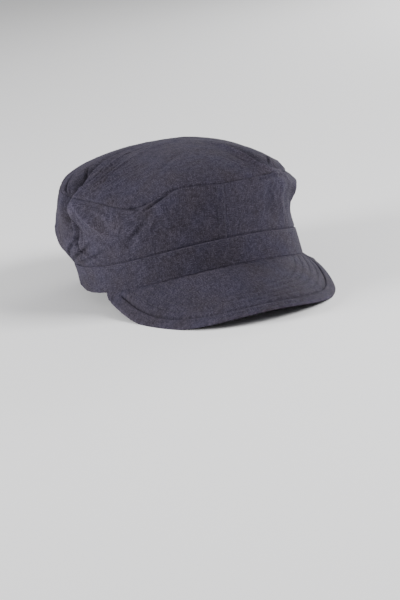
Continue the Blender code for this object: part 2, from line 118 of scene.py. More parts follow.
folds = (
    foldRow("left pinch crest", 1.8, -2.2, (84, 0.70), (81, 0.90), (79, 1.02), (78, 1.10), (80, 1.19),
            (84, 1.31), (88, 1.42), (96, 1.58), (108, 1.72), wide=5.0, crisp=True),
    foldRow("behind the left crest", 3.4, 8.5, (86, 0.86), (86, 0.97), (84, 1.05), (84, 1.12), (86, 1.21),
            (89, 1.31), (94, 1.43), (103, 1.59), (118, 1.73), wide=-10.0),
    foldRow("below the left hump", 3.2, 9.2, (90, 0.48), (88, 0.66), (87, 0.84), (86, 1.00), wide=-10.0),
    foldRow("left bump", 7.5, -2.6, (77, 0.82), (79, 0.89), (80, 0.96)),
    foldRow("left hump pleat", 0.7, 2.0, (104, 1.28), (98, 1.25), (90, 1.20), lip=0.5, crisp=True),
    foldRow("left hump tuck", 0.9, 2.4, (108, 1.14), (103, 1.11), (97, 1.06), (90, 1.01), lip=-0.5,
            crisp=True),
    foldRow("left fan ridge 1", 1.2, -1.5, (80, 1.03), (75, 1.12), (74, 1.27), (79, 1.50), (84, 1.66)),
    foldRow("left fan ridge 2", 1.1, -1.3, (77, 1.03), (70, 1.12), (66, 1.29), (62, 1.54)),
    foldRow("left fan ridge 3", 1.2, -1.3, (74, 1.03), (66, 1.12), (58, 1.30), (46, 1.43)),
    foldRow("left fan ridge 4", 1.1, -1.0, (71, 1.03), (60, 1.10), (50, 1.24), (42, 1.32)),
    foldRow("left fan fold 1", 0.8, 0.8, (81, 1.05), (77, 1.12), (77, 1.27), (84, 1.47), lip=0.8),
    foldRow("left fan fold 2", 0.8, 0.5, (78, 1.02), (72, 1.11), (69, 1.28), (69, 1.52), lip=-0.8),
    foldRow("left fan fold 3", 0.8, 0.5, (76, 1.03), (69, 1.12), (62, 1.30), (52, 1.47), lip=0.8),
    foldRow("left fan fold 4", 0.9, 0.7, (73, 1.03), (63, 1.11), (54, 1.27), (44, 1.38), lip=0.8),
    foldRow("left fan fold 5", 1.0, 0.7, (68, 1.02), (57, 1.06), (46, 1.15), lip=-0.6),
    foldRow("left fan fold 6", 0.6, 0.6, (79, 1.04), (73, 1.11), (71, 1.27), (73, 1.50), lip=0.8),
    foldRow("left fan fold 7", 0.6, 0.5, (75, 1.04), (67, 1.14), (60, 1.32), (54, 1.48), lip=-0.8),
    foldRow("light streak on the left", 3.2, -2.4, (78, 0.90), (73, 0.77), (68, 0.66), (59, 0.47),
            crisp=True),
    foldRow("shade beside the streak", 3.6, 0.9, (70, 0.88), (64, 0.76), (57, 0.62)),
    foldRow("hollow under the bump", 3.0, 3.8, (84, 0.70), (82, 0.58), (85, 0.42), (86, 0.24)),
    foldRow("left gather 1", 1.6, 2.0, (101, 0.08), (93, 0.25), (82, 0.46), lip=-0.7),
    foldRow("left gather 2", 1.6, 2.0, (98, 0.04), (85, 0.18), (71, 0.36), lip=-0.7),
    foldRow("left gather 3", 1.5, 1.4, (92, 0.03), (76, 0.11), (62, 0.24), lip=-0.7),
    foldRow("left gather 4", 1.3, 1.3, (90, 0.40), (83, 0.24), (84, 0.08), lip=0.7),
    foldRow("left gather 5", 1.3, 1.1, (86, 0.31), (75, 0.17), (65, 0.06), lip=0.7),
    foldRow("dent under the dip", 3.4, 1.7, (37, 0.72), (41, 0.60), (45, 0.48), (51, 0.27), lip=0.3),
    foldRow("swell beside the dent", 7.0, -1.3, (53, 0.93), (57, 0.50)),
    foldRow("soft line below the dip", 4.0, 0.3, (30, 0.76), (35, 0.26), lip=0.3),
    foldRow("crease along the dip", 1.0, 2.0, (42, 0.86), (38, 0.90), (33, 0.94), (28, 0.97), (24, 0.985),
            lip=-0.5, crisp=True),
    foldRow("pucker below the seam", 1.6, 0.45, (61, 0.92), (57, 0.84), (57, 0.72), lip=0.8),
    foldRow("pucker beside it", 1.3, 0.4, (56, 0.92), (53, 0.84), (54, 0.74), lip=-0.8),
    foldRow("right pinch crest", 2.2, -2.6, (326, 1.60), (328, 1.46), (331, 1.32), (334, 1.17), (334, 1.07),
            (328, 1.01), (315, 0.97), wide=-4.0, crisp=True),
    foldRow("behind the right crest", 3.0, 4.2, (320, 1.62), (321, 1.47), (326, 1.31), (329, 1.18),
            (329, 1.09), (323, 1.045), (311, 1.01), wide=-8.0),
    foldRow("right hump pleat", 0.8, 3.6, (309, 1.14), (313, 1.12), (319, 1.07), lip=0.4, crisp=True),
    foldRow("right fan 1", 1.3, 0.4, (333, 1.05), (339, 1.13), (339, 1.32), lip=0.6),
    foldRow("right fan 2", 1.2, 0.4, (334, 1.03), (343, 1.09), (347, 1.24), lip=-0.6),
    foldRow("right fan 3", 1.2, 0.5, (331, 0.99), (341, 1.03), (351, 1.10), lip=0.6),
    foldRow("crease under the right seam", 1.5, 1.1, (318, 0.93), (327, 0.94), (337, 0.93), (348, 0.95),
            lip=-0.5),
    foldRow("swell on the right wall", 5.0, -1.5, (318, 0.88), (323, 0.51), (316, 0.18)),
    foldRow("right wall drape 1", 2.4, 0.3, (311, 0.86), (317, 0.66), (327, 0.52), lip=0.5),
    foldRow("right wall drape 2", 2.4, 0.4, (308, 0.55), (317, 0.34), (325, 0.17), lip=-0.5),
    foldRow("hollow beside the swell", 5.0, 1.0, (331, 0.88), (334, 0.45), (328, 0.15)),
    foldRow("swell at the right edge", 6.0, -2.2, (301, 0.80), (303, 0.64), (304, 0.46)),
    foldRow("back drape 1", 5.0, 3.0, (128, 0.95), (125, 0.15), lip=0.3),
    foldRow("back drape 2", 4.0, 2.0, (150, 0.90), (147, 0.10), lip=-0.3),
    foldRow("back drape 3", 5.0, 2.6, (206, 0.95), (212, 0.12), lip=0.3),
    foldRow("back drape 4", 4.0, 2.2, (236, 0.90), (243, 0.10), lip=0.3),
    foldRow("back drape 5", 4.0, 1.6, (268, 0.82), (262, 0.20), lip=0.3),
    foldRow("back drape 6", 3.5, 1.8, (170, 0.12), (176, 0.42), (173, 0.80), lip=0.4),
    foldRow("back drape 7", 3.0, 1.5, (190, 0.08), (194, 0.36), (191, 0.66), lip=-0.4),
)


def periodicCurve(values, angle):
    # Catmull-Rom through evenly spaced values round a full turn, read at each angle
    count = len(values)
    place = np.mod(angle, 360.0) / 360.0 * count
    step = np.floor(place).astype(int)
    t = place - step
    before, here, after, beyond = (values[(step + k) % count] for k in (-1, 0, 1, 2))
    bend = 3 * (here - after) + beyond - before
    return here + 0.5 * t * (after - before + t * (2 * before - 5 * here + 4 * after - beyond + t * bend))


def section(column, angle):
    # one column of the table above, read at each angle
    index = sectionColumns.index(column)
    return periodicCurve(np.array([row[index] for row in sections]), angle)


def openCurve(places, values, where):
    # cubic Hermite through the values at the places, with slopes from their neighbours
    last = len(places) - 1
    around = [(max(k - 1, 0), min(k + 1, last)) for k in range(last + 1)]
    slopes = [(values[high] - values[low]) / (places[high] - places[low]) for low, high in around]
    result = np.zeros_like(where) + values[-1]
    for k in range(last):
        width = places[k + 1] - places[k]
        t = np.clip((where - places[k]) / width, 0, 1)
        start = (2 * t**3 - 3 * t**2 + 1) * values[k] + (t**3 - 2 * t**2 + t) * width * slopes[k]
        end = (3 * t**2 - 2 * t**3) * values[k + 1] + (t**3 - t**2) * width * slopes[k + 1]
        inside = (where >= places[k]) & (where <= places[k + 1])
        result = np.where(inside, start + end, result)
    return result


def unit(vectors):
    # each vector over its own length
    return vectors / (np.linalg.norm(vectors, axis=-1, keepdims=True) + 1e-9)


def bell(distance, width):
    # e to minus the square of distance over width
    return np.exp(-((distance / width) ** 2))


def smoothStep(low, high, value):
    # 3t^2 - 2t^3 from 0 at low to 1 at high
    t = np.clip((value - low) / (high - low), 0, 1)
    return t * t * (3 - 2 * t)


def ovalPlan(angle, inset=0.0):
    # the band's outer ellipse, moved along its outward normal by -inset
    turn = np.radians(angle)
    halfLength, halfWidth = band["length"] / 2, band["width"] / 2
    normal = unit(np.stack([-np.sin(turn) / halfWidth, -np.cos(turn) / halfLength], -1))
    plan = np.stack([-halfWidth * np.sin(turn), -halfLength * np.cos(turn)], -1)
    return plan - np.asarray(inset)[..., None] * normal, normal


def bandFoot(angle):
    # minus arch times sine squared over the front half, level behind
    turn = np.radians(angle)
    return -band["arch"] * np.where(np.cos(turn) > 0, np.sin(turn) ** 2, 1.0)


def fromFront(angle):
    # degrees from the centre front, the same on both sides
    return np.abs(np.mod(angle + 180, 360) - 180)


def endPull(angle, share):
    # the step in at the band's turned ends, let out again along the gathered back
    away = fromFront(angle)
    seam = band["endSeam"] + band["endSlant"] * (1 - share)
    stepIn = smoothStep(seam, seam + band["endStepWidth"], away)
    return band["endStep"] * stepIn * (1 - smoothStep(*band["endReturn"], away))


def footLift(angle, share):
    # a bell round each of the band's ends, nothing at its top edge
    return band["endLift"] * bell(fromFront(angle) - band["endLiftAt"], band["endLiftReach"]) * (1 - share)


def backWave(angle, count):
    # a cosine round the back, fading to nothing where the plain band starts
    share = (np.mod(angle, 360.0) - 180.0) / (180.0 - band["endAngle"])
    return np.cos(np.pi * count * share) * np.clip(1 - share**2, 0, 1) ** 0.5


def crownBase(angle, station):
    # the oval plus the section's overhang up the wall, then shrunk towards the middle and domed
    angle, station = np.broadcast_arrays(np.asarray(angle, float), np.asarray(station, float))
    plan, normal = ovalPlan(angle)
    up = np.clip(station, 0, 1)
    named = [section(name, angle) for name in ("low", "middle", "high", "seam")]
    shares = [np.full_like(angle, -crown["setback"] / crown["overhang"]), *named]
    out = crown["overhang"] * openCurve(sectionStations, shares, up)
    pleat = backWave(angle, crown["pleatCount"]) * np.clip(up / crown["pleatStart"], 0, 1)
    out = out + crown["pleatDepth"] * pleat * (1 - up)
    foot = bandFoot(angle) + band["height"] + crown["seamGap"]
    seam = band["height"] + crown["wallHeight"] * section("seamHeight", angle)
    wall = np.concatenate([plan + normal * out[..., None], (foot + (seam - foot) * up)[..., None]], -1)
    reach = np.clip(2 - station, 0, 1)[..., None]
    rise = (1 - reach ** crown["domePower"]) ** section("roundness", angle)[..., None]
    topHeight = band["height"] + crown["wallHeight"] + crown["rise"]
    middle = np.array([crown["sideShift"], crown["backShift"], topHeight])
    topPlan = middle[:2] + (wall[..., :2] - middle[:2]) * reach
    height = wall[..., 2:] + (middle[2] - wall[..., 2:]) * rise
    points = np.where(station[..., None] > 1, np.concatenate([topPlan, height], -1), wall)
    points[..., 0] += band["lean"] * (1 - up)
    return points


def gridNormals(points, closed=False):
    # cross product of the differences up and along a grid
    if closed:
        along = np.roll(points, -1, 0) - np.roll(points, 1, 0)
    else:
        along = np.gradient(points, axis=0)
    return unit(np.cross(np.gradient(points, axis=1), along))


foldForm = dict(
    samples=70,
    degreeLength=1.45,  # mm round the crown for each degree, about
    stationLength=60.0,  # mm up it for each station
    cut=3.6,  # widths beyond which a fold does nothing
    endShare=0.04,  # of its depth's arc that a fold starts with at its ends
    endPower=0.7,
    endWidths=1.5,  # widths over which it dies away beyond its ends
    crestRound=0.5,  # mm
    crestWidth=0.75,
    lipAway=1.8,  # widths from the line
    lipWidth=1.1,
    sideWidths=3.2,
)


def foldShift(points, normals, fold):
    # minus the depth times a bell (or, when crisp, a crest) across the distance to the fold's line, plus
    # its lip, all faded towards both ends of the line
    form, samples = foldForm, foldForm["samples"]
    width, depth, lip, wide = (fold[key] for key in ("width", "depth", "lip", "wide"))
    path = np.array(fold["path"], float)
    steps = np.diff(path * (form["degreeLength"], form["stationLength"]), axis=0)
    places = np.concatenate([[0], np.cumsum(np.linalg.norm(steps, axis=1))])
    places /= places[-1]
    share = np.linspace(0, 1, samples)
    line = crownBase(openCurve(places, path[:, 0], share), openCurve(places, path[:, 1], share))
    reach = max(width, abs(wide)) * form["cut"]
    near = ((points > line.min(0) - reach) & (points < line.max(0) + reach)).all(-1)
    part, partNormal = points[near], normals[near]
    tangent = unit(np.gradient(line, axis=0))
    apart = np.linalg.norm(part[:, None, :] - line, axis=-1)
    nearest = apart.argmin(-1)
    offset = part - line[nearest]
    along = (offset * tangent[nearest]).sum(-1)
    side = (offset * unit(np.cross(tangent[nearest], partNormal))).sum(-1)
    beyond = np.where((nearest == 0) | (nearest == samples - 1), along, 0)
    arc = np.clip(form["endShare"] + (1 - 2 * form["endShare"]) * share[nearest], 0, 1)
    fade = np.sin(np.pi * arc) ** form["endPower"] * bell(beyond, form["endWidths"] * max(width, 1.5))
    spread = np.where(side * wide > 0, abs(wide), width)
    if fold["crisp"]:
        rounded = np.sqrt(side**2 + form["crestRound"] ** 2) - form["crestRound"]
        profile = np.exp(-rounded / (form["crestWidth"] * spread))
    else:
        profile = bell(side, spread)
    lipPlace = side - np.sign(lip or 1) * form["lipAway"] * width
    bump = abs(lip) * bell(lipPlace, form["lipWidth"] * width)
    fade *= bell(apart.min(-1), form["sideWidths"] * np.maximum(width, spread))
    shift = np.zeros(points.shape[:-1])
    shift[near] = depth * fade * (bump - profile)
    return shift


def creaseShift(points, ring, stations, creases):
    # each crease: a bell along its direction times a bell across it, worked out only close to it
    shift = np.zeros(points.shape[:-1])
    for angle, station, here, direction, normal, length, width, depth in creases:
        radius = wrinkles["radius"] * min(1.0, max(2 - station, 0.15))
        reach = wrinkles["cut"] * length
        columns = np.flatnonzero(fromFront(ring - angle) < math.degrees(reach / radius))
        rows = np.flatnonzero(np.abs(stations - station) < reach / wrinkles["stationLength"])
        place = np.ix_(columns, rows)
        offset = points[place] - here
        across = np.cross(direction, normal)
        value = bell(offset @ direction, length) * bell(offset @ across, width)
        value *= bell(offset @ normal, wrinkles["through"])
        shift[place] += depth * value
    return shift


def surfaceAt(angle, station):
    # places on the crown with their normals and their directions round and up
    step = 0.4
    here = crownBase(angle, station)
    around = unit(crownBase(angle + step, station) - crownBase(angle - step, station))
    up = unit(crownBase(angle, station + 0.02) - crownBase(angle, station - 0.02))
    return here, unit(np.cross(up, around)), around, up


wrinkles = dict(
    count=900,
    strength=0.26,  # mm, away from the pulls
    pullStrength=0.95,  # mm more, close to them
    pullReach=24.0,
    stations=(0.06, 1.9),
    spin=0.45,  # radians that they turn off the pull's direction
    crossing=0.2,  # share of them that lie across it
    length=(3.5, 15.0),
    width=(0.9, 3.0),
    # places that the cloth is drawn towards
    pulls=((79, 1.0), (320, 1.03), (98, 0.03), (250, 0.05), (38, 0.9), (112, 0.0), (180, 0.0)),
    backCount=64,
    backLength=22.0,
    backDepth=1.1,
    puckerSpacing=4.6,
    puckerDepth=0.24,
    # how far each crease is worked out: lengths along it, with the crown's mean radius and the least mm
    # for a station, and mm through the cloth
    cut=2.1,
    radius=90.0,
    stationLength=36.0,
    through=12.0,
)


def wrinkleSet():
    # random creases that point at the nearest pull of the cloth, deeper the nearer they are
    count = wrinkles["count"]
    angle = rng.uniform(0, 360, count)
    station = rng.uniform(*wrinkles["stations"], count)
    here, normal, around, up = surfaceAt(angle, station)
    pulls = np.array([crownBase(*place) for place in wrinkles["pulls"]])
    toPull = pulls[None] - here[:, None]
    distance = np.linalg.norm(toPull, axis=-1)
    aim = toPull[np.arange(count), distance.argmin(1)]
    aim = unit(aim - (aim * normal).sum(-1, keepdims=True) * normal)
    crossing = wrinkles["crossing"]
    spin = rng.normal(0, wrinkles["spin"], count)
    spin = spin + rng.choice([0, math.pi / 2], count, p=[1 - crossing, crossing])
    direction = unit(aim * np.cos(spin)[:, None] + np.cross(normal, aim) * np.sin(spin)[:, None])
    pull = np.exp(-distance.min(1) / wrinkles["pullReach"])
    depth = (wrinkles["strength"] + wrinkles["pullStrength"] * pull) * rng.normal(0, 0.6, count)
    length = rng.uniform(*wrinkles["length"], count)
    width = rng.uniform(*wrinkles["width"], count) * (0.5 + 0.5 * length / wrinkles["length"][1])
    return zip(angle, station, here, direction, normal, length, width, depth * np.sqrt(width / 2))


def backGathers():
    # upright creases that run up from the gathered back, mostly short and a few long
    count = wrinkles["backCount"]
    angle = np.linspace(band["endAngle"] - 6, 366 - band["endAngle"], count) + rng.normal(0, 0.7, count)
    length = wrinkles["backLength"] * rng.uniform(0.5, 1.0, count) ** 1.5
    station = length / crown["wallHeight"] * rng.uniform(0.2, 0.6, count)
    here, normal, around, up = surfaceAt(angle, station)
    direction = unit(up + around * rng.normal(0, 0.16, count)[:, None])
    depth = -wrinkles["backDepth"] * rng.uniform(0.2, 1.2, count)
    return zip(angle, station, here, direction, normal, length, rng.uniform(0.9, 2.2, count), depth)


def puckerSet():
    # short dents across the top seam and above the band, where the stitches draw the cloth in
    rows = []
    for line, length in ((1.0, 3.0), (0.03, 3.2)):
        count = int(math.pi * (band["length"] + band["width"]) / 2 / wrinkles["puckerSpacing"])
        angle = (np.arange(count) + rng.uniform(-0.4, 0.4, count)) * 360 / count
        station = line + rng.uniform(-0.03, 0.04, count)
        here, normal, around, up = surfaceAt(angle, station)
        direction = unit(up + around * rng.normal(0, 0.3, count)[:, None])
        depth = -wrinkles["puckerDepth"] * rng.uniform(0.2, 1.4, count)
        rows += zip(angle, station, here, direction, normal, rng.uniform(0.6, 1.3, count) * length,
                    rng.uniform(0.7, 1.4, count), depth)
    return rows


seams = dict(
    topDip=0.6,  # the cloth turns in at the top seam
    topWidth=0.75,
    footDip=0.95,
    footDipBack=0.6,  # less along the gathered back
    footWidth=0.95,
    fellWidth=6.2,  # the felled strip beside the centre front seam
    fellRise=0.24,
    fellSoft=(0.25, 0.3),  # at its inner and outer edge
    fellRows=(0.9, 5.3),  # its two stitched rows
    centreDip=0.28,
    centreWidth=0.55,
    allowance=5.0,  # the seam's turned edges show as a low step below it
    allowanceRise=0.2,
    allowanceSoft=0.7,
    footTuck=2.0,  # the wall's foot goes down behind the band's edge
    footTuckIn=0.3,  # of that, inwards
    footCalm=0.06,  # folds end in the foot's seam, over this much of the wall
    wallEnd=0.97,  # the centre seams end in the top seam, from here up
)


def fromCentre(ring):
    # mm round the crown from the centre front, positive to the wearer's right, and from the centre back
    perDegree = math.radians(1) * band["width"] / 2
    return (np.mod(ring + 180, 360) - 180) * perDegree, (np.mod(ring, 360) - 180) * perDegree


def seamShift(base, ring, stations):
    # dips at the seams, the felled strip and the low step of the turned edges
    up = np.broadcast_to(stations[None, :], base.shape[:2])
    fromSeam = np.linalg.norm(base - crownBase(ring[:, None], np.ones((1, 1))), axis=-1)
    shift = -seams["topDip"] * bell(fromSeam, seams["topWidth"])
    edge, soft = seams["allowance"], seams["allowanceSoft"]
    step = 1 - smoothStep(edge - soft, edge + soft, fromSeam)
    shift += np.where(up < 1, seams["allowanceRise"] * step, 0)
    atBack = smoothStep(*band["endReturn"], fromFront(ring[:, None]))
    dip = seams["footDip"] + (seams["footDipBack"] - seams["footDip"]) * atBack
    shift -= dip * bell(np.clip(up, 0, 1) * crown["wallHeight"], seams["footWidth"])
    front, back = fromCentre(ring[:, None])
    onWall = 1 - smoothStep(seams["wallEnd"], 1.0, up)
    width, (inner, outer) = seams["fellWidth"], seams["fellSoft"]
    fell = smoothStep(-inner, inner, front) * (1 - smoothStep(width - outer, width + outer, front))
    dip = bell(front, seams["centreWidth"]) + bell(back, seams["centreWidth"])
    return shift + onWall * (seams["fellRise"] * fell - seams["centreDip"] * dip)


def crownSurface(ring, stations):
    # the base moved along its normals by the folds, the creases and the seams; also the new normals, the
    # length up the cloth and how much paler what stands out and darker what sinks: wear and painted light on
    # the crests, painted shade in the hollows
    base = crownBase(ring[:, None], stations[None, :])
    normals = gridNormals(base, True)
    for _ in range(2):
        padded = np.concatenate([normals[:, :1], normals, normals[:, -1:]], 1)
        normals = unit(padded[:, :-2] + 2 * padded[:, 1:-1] + padded[:, 2:])
    drape = sum(foldShift(base, normals, fold) for fold in folds)
    drape += creaseShift(base, ring, stations, [*wrinkleSet(), *backGathers(), *puckerSet()])
    drape *= smoothStep(-seams["footCalm"] / 3, seams["footCalm"], stations)
    points = base + normals * (drape + seamShift(base, ring, stations))[..., None]
    upSteps = np.linalg.norm(np.diff(base, axis=1), axis=-1)
    upLength = np.pad(np.cumsum(upSteps, 1), ((0, 0), (1, 0)))
    return points, gridNormals(points, True), upLength, drape * crown["wearAndShadePerMm"]


def toRest(points):
    # turned about X by the resting pitch, dropped to the floor and centred, in metres
    pitch = math.radians(rest["pitch"])
    y, z = points[..., 1], points[..., 2]
    turned = np.stack([
        points[..., 0] - rest["shiftX"],
        math.cos(pitch) * y - math.sin(pitch) * z - rest["shiftY"],
        np.maximum(math.sin(pitch) * y + math.cos(pitch) * z - rest["floorDrop"], 0.02),
    ], -1)
    return turned * 0.001


def gridFaces(columns, rows, start=0, closed=False, flip=False):
    # one quad between each pair of columns and rows
    i = np.arange(columns if closed else columns - 1)[:, None]
    k = np.arange(rows - 1)[None, :]
    j = (i + 1) % columns
    quad = np.stack(np.broadcast_arrays(i * rows + k, i * rows + k + 1, j * rows + k + 1, j * rows + k), -1)
    quad = quad.reshape(-1, 4) + start
    return quad[:, ::-1] if flip else quad


def rimFaces(first, second, closed=False, flip=False):
    # one quad between each pair of neighbours on two lines of vertices
    i = np.arange(len(first) if closed else len(first) - 1)
    j = (i + 1) % len(first)
    quad = np.stack([first[i], first[j], second[j], second[i]], -1)
    return quad[:, ::-1] if flip else quad


def endFaces(fine, coarse, kept, flip=False):
    # one face between each pair of kept places, with every corner of the finer line
    faces = []
    for k in range(len(kept) - 1):
        corners = np.concatenate([fine[kept[k]:kept[k + 1] + 1], coarse[[k + 1, k]]])[None]
        faces.append(corners[:, ::-1] if flip else corners)
    return faces


def keptRows(count, every):
    # every so many, and always the last
    return np.unique(np.concatenate([np.arange(0, count, every), [count - 1]]))


def clothShell(outer, inner, kept, closed=False):
    # numbers the outer grid, then the inner one of only the kept rows, and joins them along every free edge
    columns, rows = outer.shape[:2]
    half = columns * rows
    number = np.arange(half).reshape(columns, rows)
    under = half + np.arange(columns * len(kept)).reshape(columns, len(kept))
    faces = [gridFaces(columns, rows, 0, closed), gridFaces(columns, len(kept), half, closed, flip=True),
             rimFaces(number[:, 0], under[:, 0], closed)]
    if not closed:
        faces += endFaces(number[0], under[0], kept, flip=True)
        faces += endFaces(number[-1], under[-1], kept)
    return number, under, faces


def addObject(name, data):
    # an object of the data, linked into the scene's own collection
    made = bpy.data.objects.new(name, data)
    bpy.context.scene.collection.objects.link(made)
    return made


def addPiece(name, points, faces, flat, wearAndShade, material, node=None):
    # a mesh from grids or lists: points in the level frame, faces of any number of corners, flat the
    # cloth's own (u, v) in mm, and the wear with painted light and shade, from -1, darkened as painted
    # shade, to 1, worn pale with painted light
    points, flat, wearAndShade = points.reshape(-1, 3), flat.reshape(-1, 2), wearAndShade.reshape(-1)
    mesh = bpy.data.meshes.new(name)
    corners = np.concatenate([np.asarray(block).reshape(-1) for block in faces])
    totals = np.concatenate([np.full(len(block), np.shape(block)[1]) for block in faces])
    mesh.vertices.add(len(points))
    mesh.vertices.foreach_set("co", toRest(points).reshape(-1).astype(np.float32))
    mesh.loops.add(len(corners))
    mesh.loops.foreach_set("vertex_index", corners.astype(np.int32))
    mesh.polygons.add(len(totals))
    mesh.polygons.foreach_set("loop_start", (np.cumsum(totals) - totals).astype(np.int32))
    mesh.update(calc_edges=True)
    layer = mesh.uv_layers.new(name="cloth")
    layer.data.foreach_set("uv", (flat[corners] * 0.001).reshape(-1).astype(np.float32))
    wearAndShadeData = mesh.attributes.new("wearAndShade", "FLOAT", "POINT")
    wearAndShadeData.data.foreach_set("value", np.clip(wearAndShade, -1, 1).astype(np.float32))
    mesh.shade_smooth()
    mesh.materials.append(material)
    made = addObject(name, mesh)
    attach(made, "root")
    if node:
        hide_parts(node)
    return made


def addCloth(name, outer, inner, kept, faces, flat, wearAndShade, material, node, poles=()):
    # a piece of an outer grid, the inner one of the kept rows and any poles; the outer grid's flat places
    # and its wear with painted light and shade serve both
    poles = np.reshape(poles, (-1, 3))
    points = np.concatenate([outer.reshape(-1, 3), inner.reshape(-1, 3), poles])
    flats = np.concatenate([flat.reshape(-1, 2), flat[:, kept].reshape(-1, 2), 0 * poles[:, :2]])
    wearAndShades = np.concatenate([wearAndShade.reshape(-1), wearAndShade[:, kept].reshape(-1), 0 * poles[:, 0]])
    return addPiece(name, points, faces, flats, wearAndShades, material, node)


# looks

def linear(colour):
    # sRGB hex to the linear values that a shader takes
    parts = [int(colour[k:k + 2], 16) / 255 for k in (1, 3, 5)]
    return tuple(c / 12.92 if c <= 0.04045 else ((c + 0.055) / 1.055) ** 2.4 for c in parts) + (1.0,)


def inputOf(node, key):
    # an input by its name, or by its number where the key is i0, i1 and so on
    return node.inputs[int(key[1:]) if key[1:].isdigit() else key]


def addNode(tree, kind, settings=None, **links):
    # one shader node with its settings and links; a link comes from a node, or from (node, output) where
    # that isn't the first output
    node = tree.nodes.new("ShaderNode" + kind)
    for key, value in (settings or {}).items():
        if hasattr(node, key):
            setattr(node, key, value)
        else:
            inputOf(node, key).default_value = value
    for key, source in links.items():
        start, output = source if isinstance(source, tuple) else (source, 0)
        tree.links.new(start.outputs[output], inputOf(node, key))
    return node


def emptyMaterial(name):
    # a material and its cleared node tree
    material = bpy.data.materials.new(name)
    material.use_nodes = True
    material.node_tree.nodes.clear()
    return material, material.node_tree


weave = dict(
    dark="#1f1c25",
    middle="#302d38",
    pale="#46414d",
    thread=0.75,  # mm between threads: twice the real spacing, which is finer than the picture can show
    slubLength=3.6,  # mm
    blotch=22.0,  # mm across the dye's faint patches
    blueShift="#322f40",
    brownShift="#383135",
    threadHeight=0.14,  # mm
    slubHeight=0.10,
    stops=((0.32, "dark"), (0.5, "middle"), (0.7, "pale")),
    blotchStops=((0.35, "brownShift"), (0.65, "blueShift")),
    blotchShare=0.3,  # of the blotches' hues in the colour
    blotchGain=0.2,  # and of their brightness, added to the next
    gain=0.89,
    wearAndShadeGain=0.22,  # paler by this at 1, worn and painted light, and darker by this at -1, painted shade
    roughDark=0.96,
    roughPale=0.84,
    bloom=0.08,  # the pale fibre ends where the cloth turns away
    bloomColour="#8f8ba6",
    specular=0.12,
)


def linenCloth(name):
    # Piece-dyed linen and cotton plain weave: matt, its uneven threads showing as short pale and dark
    # dashes both ways, paler where it has rubbed and where light is painted on, darker where shade is
    # painted in, with a faint bloom where it turns away.
    material, tree = emptyMaterial(name)
    uv = addNode(tree, "UVMap", dict(uv_map="cloth"))
    split = addNode(tree, "SeparateXYZ", None, Vector=uv)
    perMetre = dict(operation="MULTIPLY", i1=1000.0 / weave["thread"])
    place = [addNode(tree, "Math", perMetre, i0=(split, axis)) for axis in (0, 1)]
    index = [addNode(tree, "Math", dict(operation="FLOOR"), i0=spot) for spot in place]
    tones, rounds = [], []
    for axis, spread in ((0, 7.31), (1, 9.17)):  # unrelated, so that no two threads are alike
        row = addNode(tree, "Math", dict(operation="MULTIPLY", i1=spread), i0=index[axis])
        slub = dict(operation="MULTIPLY", i1=weave["thread"] / weave["slubLength"])
        length = addNode(tree, "Math", slub, i0=place[1 - axis])
        spot = addNode(tree, "CombineXYZ", None, X=row, Y=length)
        uneven = dict(noise_dimensions="2D", Scale=1.0, Detail=2.0, Roughness=0.6)
        tones.append(addNode(tree, "TexNoise", uneven, Vector=spot))
        turn = addNode(tree, "Math", dict(operation="MULTIPLY", i1=math.pi), i0=place[axis])
        sine = addNode(tree, "Math", dict(operation="SINE"), i0=turn)
        rounds.append(addNode(tree, "Math", dict(operation="ABSOLUTE"), i0=sine))
    both = addNode(tree, "Math", dict(operation="ADD"), i0=index[0], i1=index[1])
    over = addNode(tree, "Math", dict(operation="PINGPONG", i1=1.0), i0=both)
    single = dict(data_type="FLOAT")
    tone = addNode(tree, "Mix", single, i0=over, i2=tones[0], i3=tones[1])
    profile = addNode(tree, "Mix", single, i0=over, i2=rounds[0], i3=rounds[1])
    blotches = addNode(tree, "TexNoise", dict(Scale=1000.0 / weave["blotch"], Detail=4.0), Vector=uv)
    ramps = []
    for source, stops in ((tone, weave["stops"]), (blotches, weave["blotchStops"])):
        ramps.append(addNode(tree, "ValToRGB", None, Fac=source))
        elements = ramps[-1].color_ramp.elements
        while len(elements) < len(stops):
            elements.new(0.5)
        for element, (position, colour) in zip(elements, stops):
            element.position = position
            element.color = linear(weave[colour])
    share = dict(data_type="RGBA", i0=weave["blotchShare"])
    mixed = addNode(tree, "Mix", share, i6=ramps[0], i7=ramps[1])
    # the colour is made paler or darker by each piece's wear with painted light and shade
    wearAndShade = addNode(tree, "Attribute", dict(attribute_name="wearAndShade"))
    drift = dict(operation="MULTIPLY_ADD", i1=weave["blotchGain"], i2=weave["gain"])
    even = addNode(tree, "Math", drift, i0=blotches)
    wearAndShadeData = dict(operation="MULTIPLY_ADD", i1=weave["wearAndShadeGain"])
    gain = addNode(tree, "Math", wearAndShadeData, i0=(wearAndShade, 2), i2=even)
    colour = addNode(tree, "VectorMath", dict(operation="SCALE"), i0=(mixed, 2), Scale=gain)
    thread = dict(Strength=0.6, Distance=weave["threadHeight"] * 0.001)
    fine = addNode(tree, "Bump", thread, Height=profile)
    slubs = dict(Strength=0.8, Distance=weave["slubHeight"] * 0.001)
    coarse = addNode(tree, "Bump", slubs, Height=tone, Normal=fine)
    matt = {"From Min": 0.3, "From Max": 0.7, "To Min": weave["roughDark"], "To Max": weave["roughPale"]}
    rough = addNode(tree, "MapRange", matt, Value=tone)
    bloom = {"Sheen Weight": weave["bloom"], "Sheen Tint": linear(weave["bloomColour"]),
             "Sheen Roughness": 0.5, "Specular IOR Level": weave["specular"]}
    shader = addNode(tree, "BsdfPrincipled", bloom,
                     **{"Base Color": colour, "Normal": coarse, "Roughness": rough})
    addNode(tree, "OutputMaterial", None, Surface=shader)
    return material


